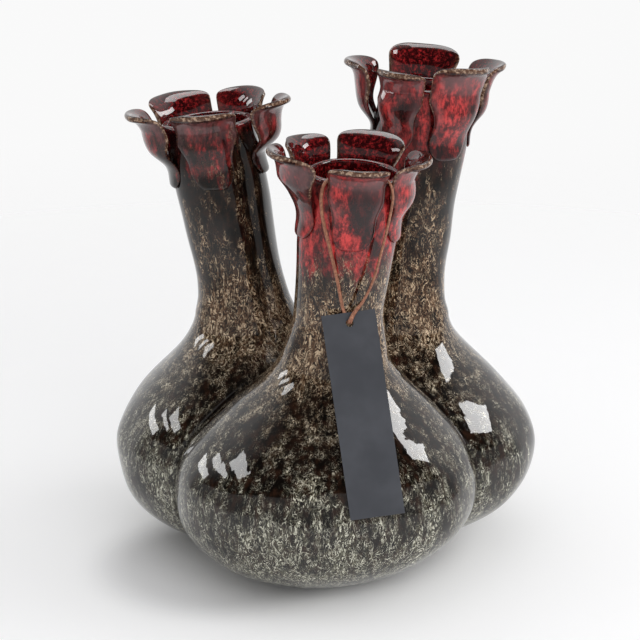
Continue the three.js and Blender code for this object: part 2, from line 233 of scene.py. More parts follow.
def run_along(path):
    """How far along a path each of its points lies."""
    steps = np.linalg.norm(np.diff(path, axis=0), axis=1)
    return np.concatenate([[0], np.cumsum(steps)])


def wobble(points, size, grain, seed):
    """Small hand-made waves, as one number for each point."""
    offset = Vector((seed * 17.3, seed * 5.1, seed * 9.7))
    flat = points.reshape(-1, 3)
    values = [noise.noise(Vector(p) / grain + offset) for p in flat]
    return size * np.array(values).reshape(points.shape[:-1])


def axis_xy(flask, height):
    """Where a flask's leaning axis passes at a height."""
    share = np.maximum(0.0, (height - LEAN_START) / (flask["rim"] - LEAN_START))
    away = share ** flask["bend"]
    bearing = math.radians(flask["bearing"])
    x = LOBE_SPREAD * math.cos(bearing) + flask["lean"][0] * away
    y = LOBE_SPREAD * math.sin(bearing) + flask["lean"][1] * away
    return x, y


def flask_points(flask, height, distance, turn):
    """Points at a height and distance from a flask's leaning axis, as an array of x, y, z."""
    height, distance, turn = np.broadcast_arrays(*(np.asarray(v, float) for v in (height, distance, turn)))
    below_x, below_y = axis_xy(flask, height - 1)
    above_x, above_y = axis_xy(flask, height + 1)
    tilt = RING_TILT * smoothstep(COLLAR_HEIGHT, flask["rim"], height)
    up = np.stack([(above_x - below_x) * tilt, (above_y - below_y) * tilt, 2 * np.ones_like(height)], -1)
    up /= np.linalg.norm(up, axis=-1, keepdims=True)
    right = np.stack([up[..., 2], np.zeros_like(height), -up[..., 0]], -1)
    right /= np.linalg.norm(right, axis=-1, keepdims=True)
    back = np.cross(up, right)
    x, y = axis_xy(flask, height)
    centre = np.stack([x, y, height], -1)
    reach = distance[..., None]
    return centre + reach * (np.sin(turn)[..., None] * right - np.cos(turn)[..., None] * back)


def neck_knots(flask):
    return [
        (COLLAR_RADIUS, COLLAR_HEIGHT + JOINT_GAP),
        (mix(WAIST_RADIUS, COLLAR_RADIUS, 0.25), COLLAR_HEIGHT + TAPER_RISE),
        (WAIST_RADIUS, max(flask["rim"] - WAIST_DROP, COLLAR_HEIGHT + LEAST_WAIST_RISE)),
        (THROAT_RADIUS, flask["rim"] - THROAT_DROP),
        (MOUTH_RADIUS, flask["rim"]),
    ]


def neck_radius(flask, height):
    outline = spline(neck_knots(flask), NECK_FINE_STEPS)
    return np.interp(height, outline[:, 1], outline[:, 0])


def flask_outline(flask):
    """Radius and height from the foot, over belly and collar, up to the rim."""
    low = bezier([
        (FOOT_RADIUS, 0), (mix(FOOT_RADIUS, BELLY_RADIUS, 0.5), BELLY_HEIGHT * 0.1),
        (BELLY_RADIUS, BELLY_HEIGHT * 0.37), (BELLY_RADIUS, BELLY_HEIGHT),
    ], BELLY_STEPS)
    high = bezier([
        (BELLY_RADIUS, BELLY_HEIGHT), (BELLY_RADIUS, mix(BELLY_HEIGHT, COLLAR_HEIGHT, 0.43)),
        (COLLAR_RADIUS * 1.18, mix(BELLY_HEIGHT, COLLAR_HEIGHT, 0.68)), (COLLAR_RADIUS, COLLAR_HEIGHT),
    ], SHOULDER_STEPS)
    neck = spline(neck_knots(flask), NECK_STEPS)
    return np.vstack([low, high[1:], neck[1:]])


def lip_outline(rim):
    """The rounded lip, from its outer to its inner edge."""
    inner = MOUTH_RADIUS - NECK_WALL
    edge_height = rim + LIP_RISE * 0.75
    return np.array([
        (MOUTH_RADIUS - LIP_ROUNDING, edge_height), (MOUTH_RADIUS - NECK_WALL / 2, rim + LIP_RISE),
        (inner + LIP_ROUNDING, edge_height),
    ])


def inward(outline, wall):
    """An outline moved inwards by the wall at each of its points."""
    along = directions(outline)
    return np.stack([outline[:, 0] - along[:, 1] * wall, outline[:, 1] + along[:, 0] * wall], 1)


def mitre_distance(flask, height, turn):
    """How far the joint with a neighbouring lobe lies from the flask's axis, along each turn."""
    bearing = math.radians(flask["bearing"])
    x, y = axis_xy(flask, height)
    dx, dy = np.sin(turn), -np.cos(turn)
    reach = np.full(np.broadcast(height, turn).shape, 1e3)
    for side in (-1, 1):
        normal = bearing + side * math.pi / 3 + side * math.pi / 2
        nx, ny = math.cos(normal), math.sin(normal)
        inside = -(x * nx + y * ny)
        towards = dx * nx + dy * ny
        reach = np.where(towards > 1e-3, np.minimum(reach, inside / np.maximum(towards, 1e-3)), reach)
    return np.maximum(reach, 1.0)


def shift_to_frame():
    """The way from the drawing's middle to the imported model's origin, read from the lobes' boxes."""
    low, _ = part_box("lobe_front")
    drawn_front = -LOBE_SPREAD - BELLY_RADIUS
    left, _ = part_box("lobe_left")
    _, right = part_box("lobe_right")
    return np.array([(left[0] + right[0]) / 2 / MM, low[1] / MM - drawn_front, 0.0])


SHIFT = shift_to_frame()


def to_metres(points):
    return (np.asarray(points, float) + SHIFT) * MM


def side_faces(count_rows, count):
    """Four-cornered faces between rows of points."""
    faces = []
    for low in range(0, (count_rows - 1) * count, count):
        high = low + count
        for step in range(count):
            after = (step + 1) % count
            faces.append((low + step, low + after, high + after, high + step))
    return faces


def flat_end(count):
    """Faces straight across a flat section, from side to side, as numbers in its row."""
    faces = []
    for step in range(count // 2):
        corners = [step, step + 1, (count - step - 1) % count, (count - step) % count]
        faces.append(list(dict.fromkeys(corners)))
    return faces


def grid_mesh(name, rows, zipped=False):
    """A mesh from rows of equally many points round a closed section, in millimetres.

    The ends are closed by fans, or, for flat sections, straight across from side to side.
    """
    count_rows, count = rows.shape[:2]
    points = list(map(tuple, to_metres(rows.reshape(-1, 3))))
    faces = side_faces(count_rows, count)
    for row, turned in ((0, True), (count_rows - 1, False)):
        first = row * count
        if zipped:
            for corners in flat_end(count):
                faces.append(tuple(first + corner for corner in (corners[::-1] if turned else corners)))
            continue
        points.append(tuple(to_metres(rows[row].mean(0))))
        for step in range(count):
            pair = [first + step, first + (step + 1) % count]
            faces.append((len(points) - 1, *(pair[::-1] if turned else pair)))
    mesh = bpy.data.meshes.new(name)
    mesh.from_pydata(points, [], faces)
    mesh.polygons.foreach_set("use_smooth", [True] * len(mesh.polygons))
    piece = bpy.data.objects.new(name, mesh)
    bpy.context.scene.collection.objects.link(piece)
    return piece


def set_glaze_values(piece, shape, **given):
    """Keeps numbers for the glaze at each point of the mesh. Fan middles repeat the last one."""
    for name in ("redness", "lip", "flecking", "warmth", "painted_ridge_highlight", "mist_and_painted_sheen", "pooling", "inner"):
        values = np.broadcast_to(given.get(name, 0.0), shape).reshape(-1)
        numbers = np.full(len(piece.data.vertices), values[-1], np.float32)
        numbers[:len(values)] = values
        kept = piece.data.attributes.new(name, "FLOAT", "POINT")
        kept.data.foreach_set("value", numbers)


def flecking_at(flask, height):
    level = np.interp(height, list(FLECKING), list(FLECKING.values()))
    return level + flask["pale"] * smoothstep(*PALE_HEIGHTS, height)


def make_flask(flask):
    """One lobe with its neck, outside and inside, pinched in where it meets its neighbours."""
    outside = flask_outline(flask)
    rim = flask["rim"]
    wall = np.where(outside[:, 1] > NECK_WALL_START, NECK_WALL, BODY_WALL)
    inside = inward(outside, wall)[::-3]
    profile = np.vstack([outside, lip_outline(rim), inside])
    turns = np.linspace(0, 2 * math.pi, FLASK_CORNERS, endpoint=False)[None, :]
    row = np.arange(len(profile))[:, None]
    radius = profile[:, 0][:, None]
    height = profile[:, 1][:, None]
    in_body = height < COLLAR_HEIGHT
    mitre = mitre_distance(flask, height, turns)
    seam = np.where(row < len(outside) + 2, mitre - SEAM_CLEARANCE, mitre - BODY_WALL)
    radius = np.where(in_body, soft_least(radius, np.maximum(seam, 0.5), JOINT_SOFTNESS), radius)
    rough = flask_points(flask, height, radius, turns)
    fade = smoothstep(0, FOOT_CALM, height) * np.where(in_body, smoothstep(0, JOINT_CALM, mitre - radius), 1)
    radius = radius + wobble(rough, *BODY_WAVE, flask["seed"]) * fade
    points = flask_points(flask, height, radius, turns)
    rest = np.maximum(0, 1 - points[..., 2] / BELLY_HEIGHT)
    points[..., 0] -= BASE_SLUMP * rest ** 2
    piece = grid_mesh(f"glazed_flask_{flask['name']}", points)
    set_glaze_values(
        piece, radius.shape,
        redness=flask["crown"] + (height - rim) / flask["red"],
        flecking=flecking_at(flask, height),
        warmth=smoothstep(*WARM_HEIGHTS, height),
        pooling=(1 - smoothstep(0, CREASE_REACH, mitre - radius)) * in_body,
        inner=(row >= len(outside) - 1) * smoothstep(*INNER_DEPTHS, height - rim),
    )
    return piece


def petal_room(flask, petal):
    """How far a petal may spread to its left and right, in radians."""
    rooms = []
    for sign in (-1, 1):
        turns = [
            math.radians(sign * (other.turn - petal.turn) % 360) * petal.width / (petal.width + other.width)
            for other in flask["petals"] if other is not petal
        ]
        rooms.append(min(turns))
    return rooms


def petal_line(flask, petal):
    """A petal's middle line from foot to tip: distance from the neck's axis and height."""
    rim = flask["rim"]
    foot, seat = rim - petal.drop, rim - petal.drop + PETAL_SEAT
    seated = neck_radius(flask, np.array([foot, seat])) + JOINT_GAP + PETAL_FOOT_THICKNESS / 2
    shoulder = np.array([petal.reach - PETAL_ROLL - PETAL_THICKNESS / 2, rim])
    tip = np.array([petal.reach, rim + petal.rise - PETAL_LIP_THICKNESS / 2])
    bulge = [(seated[1] + shoulder[0]) / 2 + petal.belly, (seat + rim) / 2]
    body = spline([(seated[0], foot), (seated[1], seat), bulge, shoulder], PETAL_BODY_STEPS)
    roll = tip - shoulder
    top = bezier([
        shoulder, shoulder + (1.5, 0.55 * roll[1]), shoulder + (0.45 * roll[0], 0.95 * roll[1]), tip,
    ], PETAL_ROLL_STEPS)
    return np.vstack([body, top[1:]])


def petal_thickness(along, bead):
    """Thin at the foot, thickest in the body, and rounded off over a bead at foot and lip."""
    lip_end = np.sqrt(np.clip(1 - np.maximum(0, (along - 1 + bead) / bead) ** 2, 0, 1))
    foot_end = np.sqrt(np.clip(1 - np.maximum(0, (bead - along) / bead) ** 2, 0, 1))
    thickness = mix(PETAL_FOOT_THICKNESS, PETAL_THICKNESS, smoothstep(0.1, 0.6, along))
    thickness = mix(thickness, PETAL_LIP_THICKNESS, smoothstep(0.7, 0.93, along))
    return thickness * np.maximum(lip_end * foot_end, 0.05)


def petal_spread(flask, petal, along, seat, corner):
    """How far a petal reaches to its left and right at each place along it, in radians."""
    width = petal.width * mix(PETAL_FOOT_SHARE, 1, smoothstep(0.3, 0.94, along))
    below = np.maximum(0, (seat - along) / seat)
    over = np.maximum(0, (along - 0.8) / 0.2)
    rounding = np.sqrt(1 - 0.8 * below ** 2) * np.sqrt(1 - 0.62 * over ** 3)
    return [
        np.minimum(width / 2 / corner, room - PETAL_GAP / 2 / corner) * rounding
        for room in petal_room(flask, petal)
    ]


def petal_section():
    """A leaf's section: how far to its side, and how far through it, each corner lies."""
    angles = np.linspace(0, 2 * math.pi, PETAL_CORNERS, endpoint=False)
    side = (-np.sign(np.cos(angles)) * np.abs(np.cos(angles)) ** PETAL_SIDE_FULLNESS)[None, :]
    depth = (np.sign(-np.sin(angles)) * np.abs(np.sin(angles)) ** PETAL_FACE_FULLNESS)[None, :]
    return side, depth


def petal_glaze(flask, height, along, side, depth):
    """What the glaze follows on a petal: dark with amber sparks at its lip, a tan painted highlight along its
    rims, a pink mist outside that is partly a painted sheen, deep red inside.
    """
    sideways = np.abs(side)
    # The pink mist on the upper outer faces and side edges: partly a milky glaze, partly a painted sheen
    mist_and_painted_sheen = np.maximum(smoothstep(0.5, 0.92, along), 0.8 * smoothstep(0.55, 0.95, sideways))
    return {
        "redness": flask["crown"] + (height - flask["rim"]) / flask["red"] / PETAL_RED_LENGTH,
        "lip": np.maximum(smoothstep(0.8, 1.0, sideways) * 0.8, smoothstep(0.88, 0.97, along)),
        "flecking": flecking_at(flask, height) - flask["pale"],
        "warmth": 1.0,
        # A tan line along the rolled rims and upper side edges: a painted highlight
        "painted_ridge_highlight": np.maximum(smoothstep(0.96, 1.0, sideways) * (along > 0.5), smoothstep(0.986, 0.997, along)),
        "mist_and_painted_sheen": mist_and_painted_sheen * (depth > 0) * smoothstep(0.2, 0.5, along),
        "inner": np.clip(-depth, 0, 1) * smoothstep(0.3, 0.6, along),
    }


def make_petal(flask, petal, index):
    """A curved leaf of clay, thin at its foot, with a rounded lip rolled outwards."""
    seed = flask["seed"] * 10 + index
    line = petal_line(flask, petal)
    run = run_along(line)
    length = run[-1]
    along = (1 - np.cos(np.linspace(0, math.pi, PETAL_ROWS))) / 2
    middle, rise, out, up = (np.interp(along * length, run, v) for v in (*line.T, *directions(line).T))
    half = petal_thickness(along, PETAL_LIP_THICKNESS / 2 / length) / 2
    hug = neck_radius(flask, rise) + JOINT_GAP + half
    corner = mix(middle, hug, PETAL_CUP)
    left, right = petal_spread(flask, petal, along, PETAL_SEAT / length, corner)
    side, depth = petal_section()
    shift = half[:, None] * depth
    height = rise[:, None] - shift * out[:, None]
    cupped = hug[:, None] + (middle - hug)[:, None] * (1 - PETAL_CUP * side ** 2)
    distance = np.maximum(cupped + shift * up[:, None], neck_radius(flask, height) + JOINT_GAP - PETAL_SINK)
    turns = math.radians(petal.turn) + side * np.where(side < 0, left[:, None], right[:, None])
    rough = flask_points(flask, height, distance, turns)
    loose = smoothstep(0.15, 0.5, along)[:, None]
    distance = distance + wobble(rough, *PETAL_WAVE, seed) * loose
    height = height + wobble(rough, *PETAL_EDGE_WAVE, seed + 40) * loose
    points = flask_points(flask, height, distance, turns)
    piece = grid_mesh(f"petal_glazed_{flask['name']}_{index}", points, zipped=True)
    set_glaze_values(piece, distance.shape, **petal_glaze(flask, height, along[:, None], side, depth))
    return piece


def card_frame():
    """The card's own axes and its hole, as a matrix of columns and a point."""
    outline = flask_outline(FLASKS[0])
    lobe = outline[outline[:, 1] <= COLLAR_HEIGHT]
    past_lobe = LOBE_SPREAD + lobe[:, 0] + JOINT_GAP + CARD_HOLE[1]
    lean = np.max(np.arctan2(past_lobe, CARD_HOLE[2] - lobe[:, 1]))
    tip = math.pi / 2 - lean
    tilt = math.radians(CARD_TILT)
    about_x = np.array([[1, 0, 0], [0, math.cos(tip), -math.sin(tip)], [0, math.sin(tip), math.cos(tip)]])
    about_z = np.array([[math.cos(tilt), -math.sin(tilt), 0], [math.sin(tilt), math.cos(tilt), 0], [0, 0, 1]])
    return about_x @ about_z, np.array(CARD_HOLE, float)


def over_lip(flask, turn):
    """The cord's way over the lip and a little down into the mouth."""
    radians = math.radians(turn)
    half = CORD_DIAMETER / 2 + JOINT_GAP
    inner = MOUTH_RADIUS - NECK_WALL
    crest = flask["rim"] + LIP_RISE + half
    return [
        flask_points(flask, crest, MOUTH_RADIUS - NECK_WALL / 2, radians),
        flask_points(flask, flask["rim"] + 0.6, inner - half - 0.3, radians),
        flask_points(flask, flask["rim"] - 6, inner - half - 0.4, radians),
    ]


def knot_place():
    front = FLASKS[0]
    height = front["rim"] - KNOT_DROP
    inside = float(neck_radius(front, height)) - NECK_WALL - KNOT_RADIUS - KNOT_CLEARANCE
    return flask_points(front, height, inside, math.radians(KNOT_TURN))


def inner_strand(turn):
    """From the lip down to the knot."""
    front = FLASKS[0]
    half = CORD_DIAMETER / 2 + JOINT_GAP
    height = front["rim"] - STRAND_DROP
    inner = float(neck_radius(front, height)) - NECK_WALL - half - STRAND_CLEARANCE
    sweep = math.radians(mix(turn, KNOT_TURN, 0.45))
    swing = flask_points(front, height, inner, sweep)
    side = math.copysign(1, turn)
    end = knot_place() + np.array([side * (KNOT_RADIUS + JOINT_GAP) * 0.74, 0.2, 2.2])
    return over_lip(front, turn) + [swing, end]


def cord_route():
    turned, hole = card_frame()
    through = [turned @ np.array(p) + hole for p in CORD_THROUGH_CARD]
    left = inner_strand(NOTCH_TURNS["left"])
    right = inner_strand(NOTCH_TURNS["right"])
    return np.array([*left[::-1], *CORD_LEFT_STRAND, *through, *CORD_RIGHT_STRAND, *right])


def tube_rows(path, radius_of):
    """Sections round a path, turned as little as possible from one to the next."""
    along = directions(path)
    across = np.cross(along[0], [0.3, 1, 0.2])
    rows = []
    corners = np.linspace(0, 2 * math.pi, CORD_CORNERS, endpoint=False)
    for index, way in enumerate(along):
        across = across - way * (across @ way)
        across /= np.linalg.norm(across)
        other = np.cross(way, across)
        ring = np.cos(corners)[:, None] * across + np.sin(corners)[:, None] * other
        rows.append(path[index] + radius_of(index, corners)[:, None] * ring)
    return np.array(rows)


def make_cord():
    """A flat lace from knot to knot, turned by a quarter as it passes through the card."""
    path = spline(cord_route(), CORD_STEPS)
    run = run_along(path)

    def radius_of(index, corners):
        twist = math.pi / 2 * (1 - smoothstep(0.48, 0.6, run[index] / run[-1]))
        broad = LACE_WIDTH / 2 * np.sin(corners + twist)
        flat = LACE_THICKNESS / 2 * np.cos(corners + twist)
        return LACE_WIDTH * LACE_THICKNESS / 4 / np.hypot(broad, flat)

    piece = grid_mesh("leather_cord_loop", tube_rows(path, radius_of))
    return piece


def make_knot():
    """A small overhand knot, as a closed trefoil of the same cord."""
    turns = np.linspace(0, 2 * math.pi, KNOT_STEPS, endpoint=False)
    size = (KNOT_RADIUS - CORD_DIAMETER / 2) / 3
    path = size * np.stack([
        np.sin(turns) + 2 * np.sin(2 * turns),
        KNOT_FLATNESS * np.sin(3 * turns),
        np.cos(turns) - 2 * np.cos(2 * turns),
    ], 1)
    path = np.vstack([path, path[:1]]) + knot_place()

    def radius_of(_, corners):
        return np.full(len(corners), CORD_DIAMETER / 2 * KNOT_CORD_SHARE)

    return grid_mesh("leather_knot", tube_rows(path, radius_of))


# Colours
COLOURS = {
    "olive thread": "686655", "cream thread": "dddbc9", "brown thread": "6d4f38", "sand thread": "d9c0a0",
    "black ground": "0a0604", "brown ground": "2b1a11", "black pool": "120d0b",
    "dark red": "4a0a0e", "bright red": "d4403f", "grey veil": "4a3938", "black blotch": "181011",
    # The pink mist is partly a milky glaze and partly a painted sheen
    "pink mist and sheen": "86595a", "deep maroon": "2a0406", "light maroon": "a8282a",
    # The brown and tan of the rims' line are a painted highlight
    "dark lip": "170c0b", "amber lip": "5c3826", "brown painted highlight": "5f4232", "tan painted highlight": "c4a78f",
    "dark slate": "3d3f45", "light slate": "484a50", "dark leather": "7c4d3a", "light leather": "b07a5e",
}


def hex_colour(text):
    channels = [int(text[k:k + 2], 16) / 255 for k in (0, 2, 4)]
    return tuple(c / 12.92 if c <= 0.04045 else ((c + 0.055) / 1.055) ** 2.4 for c in channels) + (1.0,)


# Nodes
def new_material(name):
    material = bpy.data.materials.new(name)
    material.use_nodes = True
    tree = material.node_tree
    return material, tree, tree.nodes["Principled BSDF"]


def add_node(tree, kind, **inputs):
    """A node with these values at its inputs."""
    node = tree.nodes.new(kind)
    for name, value in inputs.items():
        node.inputs[name].default_value = value
    return node


def combine(tree, operation, first, second):
    """One operation on two values. The second may be a plain number."""
    node = tree.nodes.new("ShaderNodeMath")
    node.operation = operation
    tree.links.new(first, node.inputs[0])
    if isinstance(second, float):
        node.inputs[1].default_value = second
    else:
        tree.links.new(second, node.inputs[1])
    return node.outputs[0]


def scaled(tree, value, factor, plus=0.0):
    """A value times a factor, plus a constant."""
    node = tree.nodes.new("ShaderNodeMath")
    node.operation = "MULTIPLY_ADD"
    tree.links.new(value, node.inputs[0])
    node.inputs[1].default_value = factor
    node.inputs[2].default_value = plus
    return node.outputs[0]


def ramp(tree, value, low, high):
    """Rises smoothly from 0 at the low value to 1 at the high one."""
    node = tree.nodes.new("ShaderNodeMapRange")
    node.interpolation_type = "SMOOTHSTEP"
    node.inputs["From Min"].default_value = low
    node.inputs["From Max"].default_value = high
    tree.links.new(value, node.inputs["Value"])
    return node.outputs["Result"]


def blend_colour(tree, share, first, second):
    """Goes from the first colour to the second. Each is a name from the list of colours, or a socket."""
    node = tree.nodes.new("ShaderNodeMix")
    node.data_type = "RGBA"
    tree.links.new(share, node.inputs[0])
    for slot, colour in ((6, first), (7, second)):
        if isinstance(colour, str):
            node.inputs[slot].default_value = hex_colour(COLOURS[colour])
        else:
            tree.links.new(colour, node.inputs[slot])
    return node.outputs[2]


def noise_at(tree, scale, *, detail, stretch=1.0, roughness=0.6, offset=0.0, distortion=0.0):
    place = tree.nodes.new("ShaderNodeTexCoord")
    mapping = add_node(
        tree, "ShaderNodeMapping", Scale=(1, 1, stretch), Location=(offset, offset * 0.7, offset * 1.3),
    )
    tree.links.new(place.outputs["Object"], mapping.inputs["Vector"])
    node = add_node(
        tree, "ShaderNodeTexNoise", Scale=scale, Detail=detail, Roughness=roughness, Distortion=distortion,
    )
    tree.links.new(mapping.outputs["Vector"], node.inputs["Vector"])
    return node.outputs["Fac"]


def attribute(tree, name):
    node = tree.nodes.new("ShaderNodeAttribute")
    node.attribute_name = name
    return node.outputs["Fac"]


def bump(tree, height, strength, distance):
    """A normal raised by a height, at most by the distance in metres."""
    node = add_node(tree, "ShaderNodeBump", Strength=strength, Distance=distance)
    tree.links.new(height, node.inputs["Height"])
    return node.outputs["Normal"]


def distance_from(tree, point):
    place = tree.nodes.new("ShaderNodeTexCoord")
    node = tree.nodes.new("ShaderNodeVectorMath")
    node.operation = "DISTANCE"
    node.inputs[1].default_value = point
    tree.links.new(place.outputs["Object"], node.inputs[0])
    return node.outputs["Value"]


# Materials
def threads(tree, scale, stretch, contours, offset):
    """How far a place lies from the nearest curling thread: 0 on it, 1 halfway to the next."""
    level = noise_at(tree, scale, detail=4, stretch=stretch, roughness=0.56, offset=offset, distortion=1.8)
    folded = combine(tree, "PINGPONG", scaled(tree, level, contours), 0.5)
    return scaled(tree, folded, 2)


def flecks(tree):
    """Where the glaze has broken into fine curling threads, and the colour of those threads."""
    wide = threads(tree, scale=270, stretch=0.42, contours=5.4, offset=3.1)
    fine = threads(tree, scale=560, stretch=0.5, contours=3.6, offset=13.3)
    broad = noise_at(tree, 34, stretch=0.5, detail=6, roughness=0.72, offset=7.7)
    strong = noise_at(tree, 420, stretch=0.6, detail=2, offset=15.0)
    pits = noise_at(tree, 180, stretch=0.4, detail=2, offset=19.0)
    share = combine(tree, "ADD", scaled(tree, broad, 1.1, -0.55), attribute(tree, "flecking"))
    share = combine(tree, "ADD", share, scaled(tree, pits, 1.2, -0.6))
    main = ramp(tree, combine(tree, "SUBTRACT", share, wide), -0.18, 0.14)
    main = combine(tree, "MULTIPLY", main, ramp(tree, strong, 0.22, 0.42))
    hair = ramp(tree, combine(tree, "SUBTRACT", share, fine), -0.22, 0.1)
    cover = combine(tree, "MAXIMUM", main, scaled(tree, hair, 0.7))
    core = combine(tree, "MULTIPLY", ramp(tree, wide, 0.5, 0.1), ramp(tree, strong, 0.34, 0.6))
    cool = blend_colour(tree, core, "olive thread", "cream thread")
    warm = blend_colour(tree, core, "brown thread", "sand thread")
    return cover, blend_colour(tree, attribute(tree, "warmth"), cool, warm)


def oxblood(tree):
    """Red glaze broken by near-black blotches and runs, under a thin grey veil and a pink mist that is partly
    a milky glaze and partly a painted sheen on the petals' upper outer faces.
    """
    blotch = noise_at(tree, 50, stretch=0.55, detail=5, roughness=0.66, offset=21.0)
    patch = noise_at(tree, 30, stretch=0.6, detail=2, roughness=0.5, offset=24.0)
    blotched = combine(tree, "ADD", blotch, scaled(tree, patch, 1, -0.5))
    cloud = noise_at(tree, 38, stretch=0.6, detail=5, roughness=0.66, offset=27.0)
    shade = noise_at(tree, 260, stretch=0.5, detail=6, roughness=0.8, offset=33.0)
    red = blend_colour(tree, ramp(tree, shade, 0.42, 0.64), "dark red", "bright red")
    veil = scaled(tree, ramp(tree, cloud, 0.46, 0.58), 0.55)
    veiled = blend_colour(tree, veil, red, "grey veil")
    dark = scaled(tree, ramp(tree, blotched, 0.46, 0.6), 0.92)
    mottled = blend_colour(tree, dark, veiled, "black blotch")
    # Pink mist: partly a milky glaze, partly a painted sheen
    sheen_and_mist = combine(tree, "MULTIPLY", attribute(tree, "mist_and_painted_sheen"), ramp(tree, cloud, 0.22, 0.55))
    return blend_colour(tree, scaled(tree, sheen_and_mist, 0.7), mottled, "pink mist and sheen")


def maroon(tree):
    """The deep glossy red inside the petals and mouths."""
    mottle = noise_at(tree, 480, detail=5, roughness=0.75, offset=61.0)
    return blend_colour(tree, ramp(tree, mottle, 0.46, 0.7), "deep maroon", "light maroon")


def lips_and_creases(tree, colour):
    """The thin glaze on lips, a painted highlight as a tan line along the petals' rims, and the dark glaze
    that has pooled between the lobes.
    """
    sparks = ramp(tree, noise_at(tree, 560, detail=3, offset=51.0), 0.48, 0.66)
    amber = blend_colour(tree, sparks, "dark lip", "amber lip")
    colour = blend_colour(tree, scaled(tree, attribute(tree, "lip"), 0.9), colour, amber)
    # A speckled tan line along the petals' rims: a painted highlight
    painted_highlight = blend_colour(tree, sparks, "brown painted highlight", "tan painted highlight")
    colour = blend_colour(tree, scaled(tree, attribute(tree, "painted_ridge_highlight"), 0.85), colour, painted_highlight)
    return blend_colour(tree, scaled(tree, attribute(tree, "pooling"), 0.6), colour, "black pool")


def glaze_material():
    """The vase's glaze: flecked below, running raggedly into red under the rim."""
    material, tree, shader = new_material("flecked_glaze")
    cover, pale = flecks(tree)
    ragged = noise_at(tree, 40, stretch=0.35, detail=7, roughness=0.78, offset=41.0)
    level = combine(tree, "ADD", attribute(tree, "redness"), scaled(tree, ragged, 1.9, -0.95))
    redness = ramp(tree, level, 0.0, 0.42)
    depth = noise_at(tree, 240, stretch=0.5, detail=3, offset=45.0)
    dark = blend_colour(tree, ramp(tree, depth, 0.4, 0.7), "black ground", "brown ground")
    ground = blend_colour(tree, redness, dark, oxblood(tree))
    kept = combine(tree, "MULTIPLY", cover, scaled(tree, redness, -0.95, 1))
    outer = blend_colour(tree, kept, ground, pale)
    colour = blend_colour(tree, attribute(tree, "inner"), outer, maroon(tree))
    tree.links.new(lips_and_creases(tree, colour), shader.inputs["Base Color"])
    shader.inputs["Specular IOR Level"].default_value = 0.0
    shader.inputs["Coat Weight"].default_value = 1.0
    shader.inputs["Coat Roughness"].default_value = 0.03
    shader.inputs["Coat IOR"].default_value = 1.5
    tree.links.new(bump(tree, kept, 0.2, 0.0004), shader.inputs["Normal"])
    ripple = noise_at(tree, 55, stretch=0.25, detail=3, roughness=0.5, offset=71.0)
    tree.links.new(bump(tree, ripple, 0.25, 0.0012), shader.inputs["Coat Normal"])
    return material


def card_material():
    material, tree, shader = new_material("slate_card")
    grain = noise_at(tree, 900, detail=4)
    cloud = noise_at(tree, 40, detail=3, offset=4.0)
    colour = blend_colour(tree, ramp(tree, cloud, 0.3, 0.7), "dark slate", "light slate")
    tree.links.new(colour, shader.inputs["Base Color"])
    shader.inputs["Roughness"].default_value = 0.7
    tree.links.new(bump(tree, grain, 0.15, 0.0002), shader.inputs["Normal"])
    return material


def leather_material():
    material, tree, shader = new_material("leather_cord")
    grain = noise_at(tree, 700, detail=5)
    colour = blend_colour(tree, ramp(tree, grain, 0.35, 0.7), "dark leather", "light leather")
    tree.links.new(colour, shader.inputs["Base Color"])
    shader.inputs["Roughness"].default_value = 0.55
    tree.links.new(bump(tree, grain, 0.3, 0.0002), shader.inputs["Normal"])
    return material


# Camera, in metres from here on
CAMERA_TARGET = Vector((-3.5 * MM + SHIFT[0] * MM, SHIFT[1] * MM, 137.7 * MM))
CAMERA_ELEVATION = math.radians(17.5)
CAMERA_DISTANCE = 1.5
CAMERA_LENS = 144
CAMERA_SENSOR = 36

# World: its light, and what the glaze mirrors of it
WORLD_LIGHT = 0.65
BACKDROP_LIGHT = 0.95
BEHIND_TIP = 0.3
BEHIND_EDGE = (0.22, 0.6)
BELOW_TIP = 0.35
BELOW_EDGE = (0.33, 0.28)
BELOW_LIGHT = 0.42
MIRRORED_DARK = 0.03

# Floor
FLOOR_HALF = 3.0
FLOOR_COLOUR = (0.86, 0.86, 0.87, 1)
FLOOR_GLOW = 0.22
FLOOR_FADE = (0.25, 1.1)
# The painted shadow: the floor's glow is left out round this point and round the vase's middle, and fades in
# over this edge
PAINTED_SHADOW_MIDDLE = (-0.06, -0.03, 0)
VASE_MIDDLE = (0, 0, 0)
PAINTED_SHADOW_EDGE = (0.05, 0.09)

# Lamps
LAMP_TARGET = Vector((0, 0, 0.1))
WINDOW_ROLL = -50
STRIP_DISTANCE = 2.0
STRIP_STRENGTH = 7
STRIPS = [
    {"azimuth": -112, "elevation": 19, "size": (0.6, 0.22)},
    {"azimuth": -104, "elevation": 28.5, "size": (0.5, 0.12)},
    {"azimuth": -95, "elevation": 37, "size": (0.5, 0.24)},
]


def add_camera():
    data = bpy.data.cameras.new("camera")
    data.lens = CAMERA_LENS
    data.sensor_width = CAMERA_SENSOR
    camera = bpy.data.objects.new("camera", data)
    bpy.context.scene.collection.objects.link(camera)
    away = Vector((0, -math.cos(CAMERA_ELEVATION), math.sin(CAMERA_ELEVATION)))
    camera.location = CAMERA_TARGET + away * CAMERA_DISTANCE
    camera.rotation_euler = (math.pi / 2 - CAMERA_ELEVATION, 0, 0)
    bpy.context.scene.camera = camera


